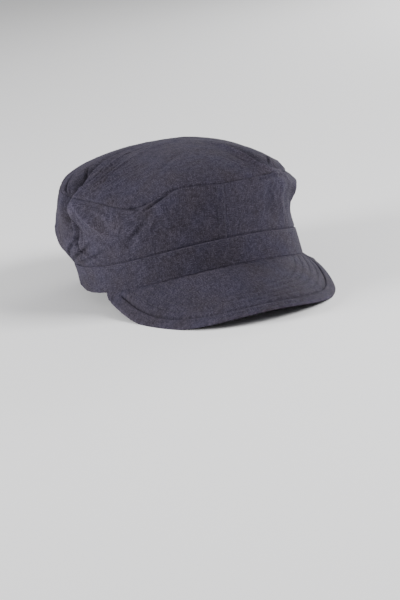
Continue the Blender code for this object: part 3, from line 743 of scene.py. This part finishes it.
crownCloth = linenCloth("linenPlainWeaveCrown")
bandCloth = linenCloth("linenPlainWeaveBand")
peakCloth = linenCloth("linenPlainWeavePeak")


# crown

grain = dict(
    step=0.5,  # degrees between columns
    fineStep=0.3,
    seamStep=0.16,
    leastStep=0.11,  # closer columns are left out
    seamZone=5.0,  # degrees on both sides of the centre seams
    pinches=((48.0, 106.0), (300.0, 342.0)),
    wallRows=100,
    topRows=76,
    innerEvery=3,  # the inside keeps each third row
    poleStation=1.985,  # the last row round the middle of the top
)


def crownColumns():
    # angles round the crown, closer in the pinches and beside the centre seams
    parts = [np.arange(0.0, 360.0, grain["step"])]
    for start, stop in grain["pinches"]:
        parts.append(np.arange(start, stop, grain["fineStep"]))
    near = np.arange(-grain["seamZone"], grain["seamZone"] + 1e-6, grain["seamStep"])
    parts += [np.mod(near, 360.0), near + 180.0, np.array([0.0, 180.0])]
    ring = np.unique(np.round(np.concatenate(parts), 2))
    apart = np.diff(ring, prepend=-1.0)
    return ring[(apart > grain["leastStep"]) | np.isin(ring, (0.0, 180.0))]


def crownPieces():
    # one closed surface, cut along the top seam and the centre seams
    ring = crownColumns()
    count, seamRow = len(ring), grain["wallRows"] - 1
    wallShare = np.linspace(0, 1, grain["wallRows"])
    topShare = np.linspace(0, 1, grain["topRows"])[1:]
    topRise = 0.35 * topShare**2 + 0.65 * topShare  # rows closer near the seam
    grids = crownSurface(ring, np.concatenate([wallShare, 1 + (grain["poleStation"] - 1) * topRise]))
    around = np.radians(np.append(ring, 360.0)) * (band["length"] + band["width"]) / 4
    half = int(np.flatnonzero(ring == 180.0)[0])
    made = {}
    for name, node, columns in (("crownWallRight", "wall_right", np.arange(half + 1)),
                                ("crownWallLeft", "wall_left", np.arange(half, count + 1))):
        rows = np.append(0, np.arange(seamRow + 1))  # the foot's row twice, and its first copy tucked in
        outer, outward, up, wearAndShade = (grid[np.ix_(columns % count, rows)] for grid in grids)
        outer[:, 0] -= seams["footTuck"] * (outward[:, 0] * seams["footTuckIn"] + (0, 0, 1))
        up[:, 0] -= seams["footTuck"]
        kept = keptRows(len(rows), grain["innerEvery"])
        inner = (outer - outward * crown["cloth"])[:, kept]
        number, under, faces = clothShell(outer, inner, kept)
        faces.append(rimFaces(number[:, -1], under[:, -1], flip=True))
        flat = np.stack([np.broadcast_to(around[columns][:, None], up.shape), up], -1)
        made[name] = addCloth(name, outer, inner, kept, faces, flat, wearAndShade, crownCloth, node)
    outer, outward, up, wearAndShade = (grid[:, seamRow:] for grid in grids)
    kept = keptRows(outer.shape[1], grain["innerEvery"])
    inner = (outer - outward * crown["cloth"])[:, kept]
    number, under, faces = clothShell(outer, inner, kept, True)
    poles = np.array([outer[:, -1].mean(0), inner[:, -1].mean(0)])
    top, low = (np.full(count, number.size + under.size + k) for k in (0, 1))
    faces.append(np.stack([number[:, -1], top, np.roll(number[:, -1], -1)], -1))
    faces.append(np.stack([np.roll(under[:, -1], -1), low, under[:, -1]], -1))
    fromPole = up[:, -1:] - up + np.linalg.norm(outer[:, -1] - poles[0], axis=-1)[:, None]
    aim = unit(outer[:, 0, :2] - (crown["sideShift"], crown["backShift"]))
    flat = aim[:, None] * fromPole[..., None]
    made["crownTop"] = addCloth("crownTop", outer, inner, kept, faces, flat, wearAndShade, crownCloth,
                                "top_panel", poles)
    columns = [int(np.argmin(np.abs(fromCentre(ring)[0] - row))) for row in seams["fellRows"]]
    made["fellLines"] = [[grid[column, 2:seamRow - 1] for grid in grids[:2]] for column in columns]
    return made


crownMade = crownPieces()
print("crown made")


# band

gathers = dict(
    count=15,
    depth=1.1,  # mm, as the others
    fineCount=37,
    fineDepth=0.35,
    channel=0.35,  # the stitched line half way up
    endDip=0.3,  # beside the plain band's ends
)


def roundedSlab(height, thickness, radius, side=16, corner=6):
    # a closed loop of (inset, up) places: a standing slab with rounded top and bottom edges
    faceUp = np.linspace(radius, height - radius, side)
    turn = np.linspace(0, math.pi / 2, corner)[1:-1]
    cos, sin = radius * np.cos(turn), radius * np.sin(turn)
    parts = [
        (np.zeros(side), faceUp),
        (radius - cos, height - radius + sin),
        (np.array([radius, thickness - radius]), np.array([height, height])),
        (thickness - radius + sin, height - radius + cos),
        (np.full(side, thickness), faceUp[::-1]),
        (thickness - radius + cos, radius - sin),
        (np.array([thickness - radius, radius]), np.zeros(2)),
        (radius - sin, radius - cos),
    ]
    return np.concatenate([np.stack(part, -1) for part in parts])


def noiseAlong(angle, share, scale, seed):
    # a smooth sum of cosines of unrelated lengths, the same for the same seed
    mixed = np.random.default_rng(seed)
    total = np.zeros(np.broadcast(angle, share).shape)
    for _ in range(7):
        pace, slant, start = mixed.uniform(0.4, 1.6), mixed.uniform(-3, 3), mixed.uniform(0, 7)
        total += np.cos(pace * angle / scale + slant * share + start)
    return total / 7


bandFace = dict(
    uneven=0.3,  # depths in mm
    strain=0.6,
    strainAt=106.0,  # degrees from the front
    strainReach=7.0,
    groove=0.16,
    grooveWidth=0.6,
    dent=0.3,
    dentAt=17.0,  # degrees to the wearer's right
    dentReach=1.2,
)


def bandWave(angle, share):
    # slow unevenness, more where the gathers pull at each end, a groove under the stitched edge and the
    # dent of a seam just right of the front
    face = bandFace
    strain = face["strain"] * bell(np.abs(angle) - face["strainAt"], face["strainReach"])
    groove = face["groove"] * bell((1 - share) * band["height"] - band["stitchInset"], face["grooveWidth"])
    dent = face["dent"] * bell(angle - face["dentAt"], face["dentReach"])
    waves = face["uneven"] * noiseAlong(angle, share, 3.0, 5) + strain * noiseAlong(angle, share * 2, 0.9, 6)
    return waves - groove - dent


def gatherWave(angle, share):
    # deep ruffles that pinch towards both edges, with finer ones between
    middle = 0.8 + 0.35 * np.cos(2 * math.pi * (share - 0.5))
    fine = gathers["fineDepth"] * backWave(angle + 1.2 * share, gathers["fineCount"])
    channel = gathers["channel"] * bell(share - 0.5, 0.06)
    ends = gathers["endDip"] * bell(fromFront(angle) - band["endAngle"], 1.5)
    return gathers["depth"] * backWave(angle, gathers["count"]) * middle + fine - channel - ends


def bandPoints(angles, up, inset, wave):
    # the oval moved out by the wave less the inset, and leaned
    plan, normal = ovalPlan(angles)
    share = up / band["height"]
    plan = plan + normal * (wave(angles, share) - inset - endPull(angles, share))[..., None]
    points = np.concatenate([plan, (bandFoot(angles) + up + footLift(angles, share))[..., None]], -1)
    points[..., 0] += band["lean"] * share
    return points


def closedLoops(columns, rows):
    # the faces of a tube of closed loops, with a ladder of quads over each end
    number = np.arange(columns * rows).reshape(columns, rows)
    ring = np.concatenate([number, number[:, :1]], 1)
    quads = np.stack([ring[:-1, :-1], ring[:-1, 1:], ring[1:, 1:], ring[1:, :-1]], -1).reshape(-1, 4)
    half = rows // 2
    ends = []
    for loop in (number[0], number[-1][::-1]):
        back = loop[::-1]
        ends.append(np.stack([loop[:half - 1], back[:half - 1], back[1:half], loop[1:half]], -1))
    return [quads, *ends]


def bandPiece(name, node, angles, wave):
    # the slab's profile carried round the oval, moved out by the wave
    profile = roundedSlab(band["height"], band["cloth"], band["edgeRadius"])
    turn, up = np.meshgrid(angles, profile[:, 1], indexing="ij")
    points = bandPoints(turn, up, profile[None, :, 0], wave)
    around = np.radians(turn) * (band["length"] + band["width"]) / 4
    flat = np.stack([around, up + profile[None, :, 0]], -1)
    # paler along both edges, wear with a painted highlight, paler where the face bulges and darker in the
    # groove, the dent and where it sinks: painted light and shade
    edge = bell(up, 0.7) + bell(band["height"] - up, 0.7)
    wearAndShade = 0.9 * edge + (wave(turn, up / band["height"]) - 0.2) * 0.4
    return addPiece(name, points, closedLoops(*turn.shape), flat, wearAndShade, bandCloth, node)


frontEnd, backEnd = band["endAngle"], 360 - band["endAngle"]
bandFront = bandPiece("bandFront", "band", np.linspace(-frontEnd, frontEnd, 640), bandWave)
underEnds = np.linspace(frontEnd - band["endOverlap"], backEnd + band["endOverlap"], 460)
bandBack = bandPiece("bandGathered", "back_band", underEnds, gatherWave)
print("band made")


# peak

peak = dict(
    length=56.5,  # mm in front of the band
    thickness=2.5,
    endAngle=71.7,  # it leaves the band here
    sideShift=1.8,  # its middle, to the wearer's left
    side=2.8,  # wider by this on each side than where it leaves the band
    shoulder=12.5,  # its widest line, mm in front of its ends
    squareness=2.12,  # 2 is an ellipse
    slope=24.8,  # degrees down towards its edge
    bendRadius=84.0,
    border=6.7,
    borderStep=0.4,  # the border's top lies below the panel's
    ease=12.0,  # mm over which it follows the band's foot
    rows=(5.0, 10.0, 15.0, 20.0),  # stitched rows, mm inside the border
    rowDepth=0.15,
    rowDepthLeft=0.22,  # deeper by this on the wearer's left
    rowWidth=0.6,
    grooveDepth=0.75,
    grooveDepthEnds=0.75,  # deeper by this from 35 to 70 mm from the middle
    grooveWidth=0.8,
    grooveCloses=3.5,  # mm in front of the band over which it gets shallow
    grooveLeast=0.2,  # share of its depth that is left at the band
    endGap=0.2,  # mm between the band and the panel's two ends
    footGap=0.05,  # and between the band's oval and the panel's first row
    lips=((1.9, 0.7), (0.9, 0.55)),  # the sewn edge: mm inside the band's face, mm up from its foot
    seamDip=0.45,  # along the band
    tuckUnder=1.8,  # the border's ends go this far in under the band
    tuckRise=0.55,  # the peak's ends go up into the band's foot
    tuckReach=2.0,
    tuckAngles=(56, 66),  # between these angles from the front
    roll=0.84,  # share of the border's width where its edge starts to turn
    crest=0.28,  # the border stands up along its middle
    wobble=0.07,  # and up and down beside its seam
    overlap=0.22,  # share of the border that runs on under the panel there
)


def peakEnd():
    # the place on the band's oval where the peak ends: forward and to the side
    turn = math.radians(peak["endAngle"])
    return band["length"] / 2 * math.cos(turn), band["width"] / 2 * math.sin(turn)


def peakOutline(turn, inset):
    # two squared half ellipses that share the peak's widest line, drawn in by inset
    forward, side = peakEnd()
    widest = forward + peak["shoulder"]
    halfWidth = side + peak["side"]
    front = band["length"] / 2 + peak["length"] - widest
    rear = peak["shoulder"] / math.sqrt(1 - (side / halfWidth) ** 2)
    reach = np.where(np.cos(turn) > 0, front, rear + inset)
    power = 2 / peak["squareness"]
    sideShare = np.sign(np.sin(turn)) * np.abs(np.sin(turn)) ** power
    frontShare = np.sign(np.cos(turn)) * np.abs(np.cos(turn)) ** power
    across = peak["sideShift"] - (halfWidth - inset) * sideShare
    return np.stack([across, -widest - (reach - inset) * frontShare], -1)


def bandAngle(plan):
    # the oval's angle that points at a place, from its shares of the oval's two radii
    return np.degrees(np.arctan2(-2 * plan[..., 0] / band["width"], -2 * plan[..., 1] / band["length"]))


def beyondBand(plan):
    # mm in front of the band's oval, along its normal
    onBand, normal = ovalPlan(bandAngle(plan))
    return ((plan - onBand) * normal).sum(-1)


def peakTurns(inset, count, clearance):
    # turns along the outline between the two places where it reaches the band
    ends = []
    for side in (1, -1):
        turns = side * np.linspace(math.pi / 4, 3 * math.pi / 4, 2001)
        near = beyondBand(peakOutline(turns, inset)) < clearance
        ends.append(turns[int(np.argmax(near))])
    return np.linspace(ends[0], ends[1], count)


def freeHeight(plan):
    # falls forwards at the slope, and to both sides as a parabola of the bend radius
    forward = np.maximum(-plan[..., 1], peakEnd()[0] + peak["shoulder"])
    fall = math.tan(math.radians(peak["slope"])) * (forward - band["length"] / 2)
    return -fall - (plan[..., 0] - peak["sideShift"]) ** 2 / (2 * peak["bendRadius"])


def peakHeight(plan):
    # the free sheet, turned to follow the band's foot close to it
    angle = bandAngle(plan)
    pull = bell(beyondBand(plan), peak["ease"])
    return freeHeight(plan) + (bandFoot(angle) - crown["seamGap"] - freeHeight(ovalPlan(angle)[0])) * pull


outlineLine = peakOutline(np.linspace(2.4, -2.4, 900), 0.0)


def fromEdge(plan):
    # distance in plan to the peak's edge
    flat = plan.reshape(-1, 2)
    parts = [np.linalg.norm(flat[start:start + 4000][:, None] - outlineLine, axis=-1).min(-1)
             for start in range(0, len(flat), 4000)]
    return np.concatenate(parts).reshape(plan.shape[:-1])


def grooveDepth(plan):
    # the dip between panel and border, deepest towards the peak's ends and closing at the band
    depth = peak["grooveDepth"] + peak["grooveDepthEnds"] * smoothStep(35, 70, np.abs(plan[..., 0]))
    least = peak["grooveLeast"]
    return depth * (least + (1 - least) * smoothStep(0, peak["grooveCloses"], beyondBand(plan)))


def nearBand(plan):
    # a bell of the distance in front of the band
    return bell(np.maximum(beyondBand(plan), 0), peak["tuckReach"])


def tuckHeight(plan):
    # the peak's two ends rise into the band's foot
    ends = smoothStep(*peak["tuckAngles"], np.abs(bandAngle(plan)))
    return peak["tuckRise"] * ends * nearBand(plan)


peakFace = dict(
    swell=0.35,  # share of the rows' depth that stands up between them
    wander=0.25,  # slow hills
    soft=0.4,  # one soft line from the middle of the edge towards the band
    puckers=0.1,  # beside the border's seam
)


def peakRelief(plan):
    # the stitched rows sink into the cloth, it swells a little between them, and it dips at the border
    x, y = plan[..., 0], plan[..., 1]
    edge = fromEdge(plan) - peak["border"]
    depth = peak["rowDepth"] + peak["rowDepthLeft"] * smoothStep(-10, 55, x)
    rows = sum(bell(edge - row, peak["rowWidth"]) for row in peak["rows"])
    inRows = 1 - smoothStep(peak["rows"][-1], peak["rows"][-1] + 3, edge)
    between = np.cos(2 * math.pi * edge / (peak["rows"][1] - peak["rows"][0]))
    swell = peakFace["swell"] * depth * inRows * between
    wander = peakFace["wander"] * np.cos(x / 11.0 + y / 23.0) * np.cos(y / 14.0 + 1)
    soft = peakFace["soft"] * bell(x + 3 + 0.12 * (y + 130), 3.5) * smoothStep(2, 12, edge)
    puckers = peakFace["puckers"] * bell(edge - 2.0, 2.2) * np.cos(x / 1.35 + 2 * np.sin(x / 7))
    groove = grooveDepth(plan) * bell(edge, peak["grooveWidth"])
    return wander - soft + puckers - depth * rows - swell - groove


def peakPiece():
    # rows from the band's foot to the groove, with the sewn edge up behind the band
    columns, rows, every = 460, 80, 4
    edge = peakOutline(peakTurns(peak["border"], columns, peak["endGap"]), peak["border"])
    angles = np.linspace(*bandAngle(edge[[0, -1]]), columns)
    start, _ = ovalPlan(angles, np.full(columns, -peak["footGap"]))
    plan = start[:, None] + (edge - start)[:, None] * np.linspace(0, 1, rows)[None, :, None]
    relief = peakRelief(plan)
    seamDip = peak["seamDip"] * bell(np.linalg.norm(plan - start[:, None], axis=-1), 0.9)
    smooth = np.concatenate([plan, (peakHeight(plan) + tuckHeight(plan))[..., None]], -1)
    top = smooth + np.stack([0 * relief, 0 * relief, relief - seamDip], -1)
    lips = []
    for inset, rise in peak["lips"]:
        lip, _ = ovalPlan(angles, np.full(columns, inset))
        lips.append(np.column_stack([lip, bandFoot(angles) + rise]))
    top, smooth = (np.concatenate([np.stack(lips, 1), grid], 1) for grid in (top, smooth))
    kept = keptRows(top.shape[1], every)
    inner = smooth[:, kept] - (0, 0, peak["thickness"])
    number, under, faces = clothShell(top, inner, kept)
    faces.append(rimFaces(number[:, -1], under[:, -1], flip=True))
    # wear and painted light where the relief stands up, painted shade in the stitched rows and the groove
    wearAndShade = np.pad(relief, ((0, 0), (len(lips), 0))) * 1.1
    return addCloth("peakPanel", top, inner, kept, faces, top[..., :2], wearAndShade, peakCloth, "peak")


def borderPiece():
    # a rolled strip: out along its top from the groove, round the edge and back underneath
    columns, flatRows, turnRows = 620, 16, 16
    line = peakOutline(peakTurns(peak["border"], columns, -peak["tuckUnder"]), peak["border"])
    edge = peakOutline(peakTurns(0.0, columns, -peak["tuckUnder"]), 0.0)
    half = (peak["thickness"] - peak["borderStep"]) / 2
    turn = np.linspace(0, math.pi, turnRows)[1:-1]
    run = np.linspace(0, peak["roll"], flatRows)
    place = np.concatenate([run, peak["roll"] + (1 - peak["roll"]) * np.sin(turn), run[::-1]])
    up = np.concatenate([np.ones(flatRows), np.cos(turn), -np.ones(flatRows)])
    under = peak["overlap"] * nearBand(line)[:, None] * (1 - place)
    plan = line[:, None] + (edge - line)[:, None] * (place - under)[..., None]
    fromGroove = place * peak["border"]
    crest = peak["crest"] * np.sin(math.pi * np.clip(place / peak["roll"], 0, 1)) ** 2
    dip = (grooveDepth(plan) - peak["borderStep"]) * bell(fromGroove, peak["grooveWidth"])
    arc = np.linspace(0, 300, columns)[:, None]
    wobble = peak["wobble"] * np.cos(arc / 2.9 + np.sin(arc / 11)) * bell(fromGroove - 1.5, 3.0)
    middle = peakHeight(plan) - peak["borderStep"] - half + tuckHeight(plan)
    height = middle + half * up + np.where(up > 0, crest - dip, 0) + wobble
    points = np.concatenate([plan, height[..., None]], -1)
    # paler along the rolled edge, and darker in the groove beside the panel: painted shade there
    wearAndShade = np.broadcast_to(0.8 * bell(place - 1, 0.16) - 0.6 * bell(fromGroove, 0.8), height.shape)
    return addPiece("peakBorder", points, closedLoops(*height.shape), plan, wearAndShade, peakCloth,
                    "peak_border")


peakPanel = peakPiece()
peakBorder = borderPiece()
print("peak made")


# stitches

stitching = dict(
    length=2.5,  # mm of thread that shows
    pitch=3.1,
    radius=0.21,
    taper=0.45,  # share of the radius at both ends
    proud=0.02,  # mm that it stands above the cloth, besides its own arch
    twist=2.2,  # mm
    shade=9.0,  # mm over which its tone drifts
    colour="#2e2b36",
)


def sewingThread():
    # Spun polyester sewing thread, a shade paler than the cloth, with a soft gleam along each stitch.
    material, tree = emptyMaterial("spunPolyesterThread")
    uv = addNode(tree, "UVMap", dict(uv_map="cloth"))
    plies = dict(Scale=1000.0 / stitching["twist"], Distortion=1.5)
    twist = addNode(tree, "TexWave", plies, Vector=uv)
    uneven = addNode(tree, "TexNoise", dict(Scale=1000.0 / stitching["shade"]), Vector=uv)
    gain = addNode(tree, "Math", dict(operation="MULTIPLY_ADD", i1=0.6, i2=0.7), i0=uneven)
    dyed = dict(operation="SCALE", i0=linear(stitching["colour"])[:3])
    colour = addNode(tree, "VectorMath", dyed, Scale=gain)
    bump = addNode(tree, "Bump", dict(Strength=0.4, Distance=0.00006), Height=(twist, 1))
    shader = addNode(tree, "BsdfPrincipled", {"Roughness": 0.6, "Specular IOR Level": 0.3},
                     **{"Base Color": colour, "Normal": bump})
    addNode(tree, "OutputMaterial", None, Surface=shader)
    return material


thread = sewingThread()


def stitchRow(line, normals):
    # stitches laid along a line of close points: tapered tubes that dip into the cloth at both ends, as
    # the sine of half a turn
    travel = np.concatenate([[0], np.cumsum(np.linalg.norm(np.diff(line, axis=0), axis=1))])
    count = int(travel[-1] / stitching["pitch"])
    starts = (np.arange(count) + 0.15) * travel[-1] / count
    share = np.linspace(0, 1, 5)
    where = starts[:, None] + share[None, :] * stitching["length"]
    centre = np.stack([np.interp(where, travel, line[:, k]) for k in range(3)], -1)
    outward = unit(np.stack([np.interp(where, travel, normals[:, k]) for k in range(3)], -1))
    forward = unit(np.gradient(centre, axis=1))
    across = np.cross(forward, outward)
    lift = stitching["proud"] + stitching["radius"] * (np.sin(np.pi * share) - 0.9)
    centre = centre + outward * lift[None, :, None]
    taper = stitching["taper"]
    radius = stitching["radius"] * (taper + (1 - taper) * np.sin(np.pi * share))
    turn = np.arange(6) * math.pi / 3
    ring = across[:, :, None] * np.cos(turn)[:, None] + outward[:, :, None] * np.sin(turn)[:, None]
    return centre[:, :, None] + ring * radius[None, :, None, None]


def stitchPiece(name, rows):
    # one mesh of every stitch in the rows
    points = np.concatenate([stitchRow(*row) for row in rows])
    count, rings, sides = points.shape[:3]
    number = np.arange(count * rings * sides).reshape(count, rings, sides)
    after = np.roll(number, -1, 2)
    quads = np.stack([number[:, :-1], number[:, 1:], after[:, 1:], after[:, :-1]], -1).reshape(-1, 4)
    faces = [quads, number[:, 0], number[:, -1, ::-1]]
    flat = points[..., :2] + points[..., 2:]
    return addPiece(name, points, faces, flat, np.zeros(points.size // 3), thread)


def peakRowLines():
    # each row runs at its own distance inside the edge, as far as the band
    rows = []
    tangent = unit(np.gradient(outlineLine, axis=0))
    inward = np.stack([-tangent[:, 1], tangent[:, 0]], -1)
    inward *= np.sign((-outlineLine * inward).sum(-1, keepdims=True) + 1e-9)
    for row in peak["rows"]:
        plan = outlineLine + inward * (row + peak["border"])
        plan = plan[(beyondBand(plan) > 1.5) & (np.abs(fromEdge(plan) - row - peak["border"]) < 0.15)]
        line = np.column_stack([plan, peakHeight(plan) + peakRelief(plan)])
        step = 0.5
        slopes = [(peakHeight(plan + aside) - peakHeight(plan - aside)) / (2 * step)
                  for aside in ((step, 0), (0, step))]
        rows.append((line, unit(np.column_stack([-slopes[0], -slopes[1], np.ones(len(plan))]))))
    return rows


def bandRowLine():
    # one row below the band's top edge
    angles = np.linspace(-frontEnd + 1, frontEnd - 1, 700)
    up = np.full(len(angles), band["height"] - band["stitchInset"])
    line = bandPoints(angles, up, 0.0, bandWave)
    normal = ovalPlan(angles)[1]
    return [(line, np.column_stack([normal, np.zeros(len(normal))]))]


peakStitches = stitchPiece("stitchesPeak", peakRowLines())
bandStitches = stitchPiece("stitchesBand", bandRowLine())
crownStitches = stitchPiece("stitchesCrown", crownMade["fellLines"])
print("stitches made")


# stage

studio = dict(
    floor="#fbfbfc",
    floorReach=20.0,  # metres each way
    world=0.34,
    aimHeight=0.05,
    # azimuth and elevation in degrees, distance and side in metres, power in watts
    softboxes=(
        dict(name="softboxLeft", azimuth=-99, elevation=15, distance=1.8, side=0.8, power=55),
        dict(name="softboxFront", azimuth=50, elevation=35, distance=1.8, side=0.9, power=44),
        dict(name="softboxRight", azimuth=128, elevation=14, distance=1.8, side=0.9, power=20),
    ),
)


def addFloor():
    # a wide square of matt paper round the place where the cap rests
    half = studio["floorReach"]
    mesh = bpy.data.meshes.new("floor")
    corners = [(-half, -half, 0), (half, -half, 0), (half, half, 0), (-half, half, 0)]
    mesh.from_pydata(corners, [], [(0, 1, 2, 3)])
    made = addObject("floor", mesh)
    paper = bpy.data.materials.new("mattPaperFloor")
    paper.use_nodes = True
    shader = paper.node_tree.nodes["Principled BSDF"]
    shader.inputs["Base Color"].default_value = linear(studio["floor"])
    shader.inputs["Roughness"].default_value = 0.95
    shader.inputs["Specular IOR Level"].default_value = 0.1
    mesh.materials.append(paper)


def towards(azimuth, elevation):
    # the direction at degrees round from the front, positive to the wearer's left, and degrees up
    turn, lift = math.radians(azimuth), math.radians(elevation)
    return Vector((math.sin(turn) * math.cos(lift), -math.cos(turn) * math.cos(lift), math.sin(lift)))


def addSoftbox(name, azimuth, elevation, distance, side, power):
    # a square lamp that faces the cap
    lamp = bpy.data.lights.new(name, "AREA")
    lamp.shape = "SQUARE"
    lamp.size = side
    lamp.energy = power
    made = addObject(name, lamp)
    made.location = towards(azimuth, elevation) * distance
    aim = Vector((0, 0, studio["aimHeight"])) - made.location
    made.rotation_euler = aim.to_track_quat("-Z", "Y").to_euler()


def addWorld():
    # even white light from all round
    world = bpy.data.worlds.new("studioWorld")
    world.use_nodes = True
    back = world.node_tree.nodes["Background"]
    back.inputs["Color"].default_value = (1.0, 1.0, 1.0, 1.0)
    back.inputs["Strength"].default_value = studio["world"]
    bpy.context.scene.world = world


view = dict(
    azimuth=-18.07,
    elevation=7.73,
    roll=-9.15,
    distance=1800.0,
    pixelsPerMm=1.32,
    aimX=188.23,  # where the picture shows the middle of the band's oval
    aimY=253.61,
    size=(400, 600),
    sensor=36.0,
)


def addCamera():
    # the photograph's view: found in the cap's level frame, then pitched with it into its rest
    turn, roll = math.radians(view["azimuth"]), math.radians(view["roll"])
    back = towards(view["azimuth"], view["elevation"])
    flatRight = Vector((math.cos(turn), math.sin(turn), 0))
    flatUp = back.cross(flatRight)
    right = math.cos(roll) * flatRight + math.sin(roll) * flatUp
    up = -math.sin(roll) * flatRight + math.cos(roll) * flatUp
    focal = view["pixelsPerMm"] * view["distance"]
    width, height = view["size"]
    aside = right * (width / 2 - view["aimX"]) - up * (height / 2 - view["aimY"])
    forward = (aside - back * focal).normalized()
    up = (up - up.dot(forward) * forward).normalized()
    right = forward.cross(up)
    pitch = Matrix.Rotation(math.radians(rest["pitch"]), 3, "X")
    origin = Vector((-rest["shiftX"], -rest["shiftY"], -rest["floorDrop"])) * 0.001
    place = pitch @ (back * view["distance"] * 0.001) + origin
    axes = Matrix((pitch @ right, pitch @ up, pitch @ -forward)).transposed()
    lens = bpy.data.cameras.new("camera")
    lens.sensor_width = view["sensor"]
    lens.lens = focal / height * lens.sensor_width
    lens.clip_end = 100.0
    made = addObject("camera", lens)
    made.matrix_world = Matrix.Translation(place) @ axes.to_4x4()
    bpy.context.scene.camera = made


addFloor()
addWorld()
for softbox in studio["softboxes"]:
    addSoftbox(**softbox)
addCamera()
print("stage made")
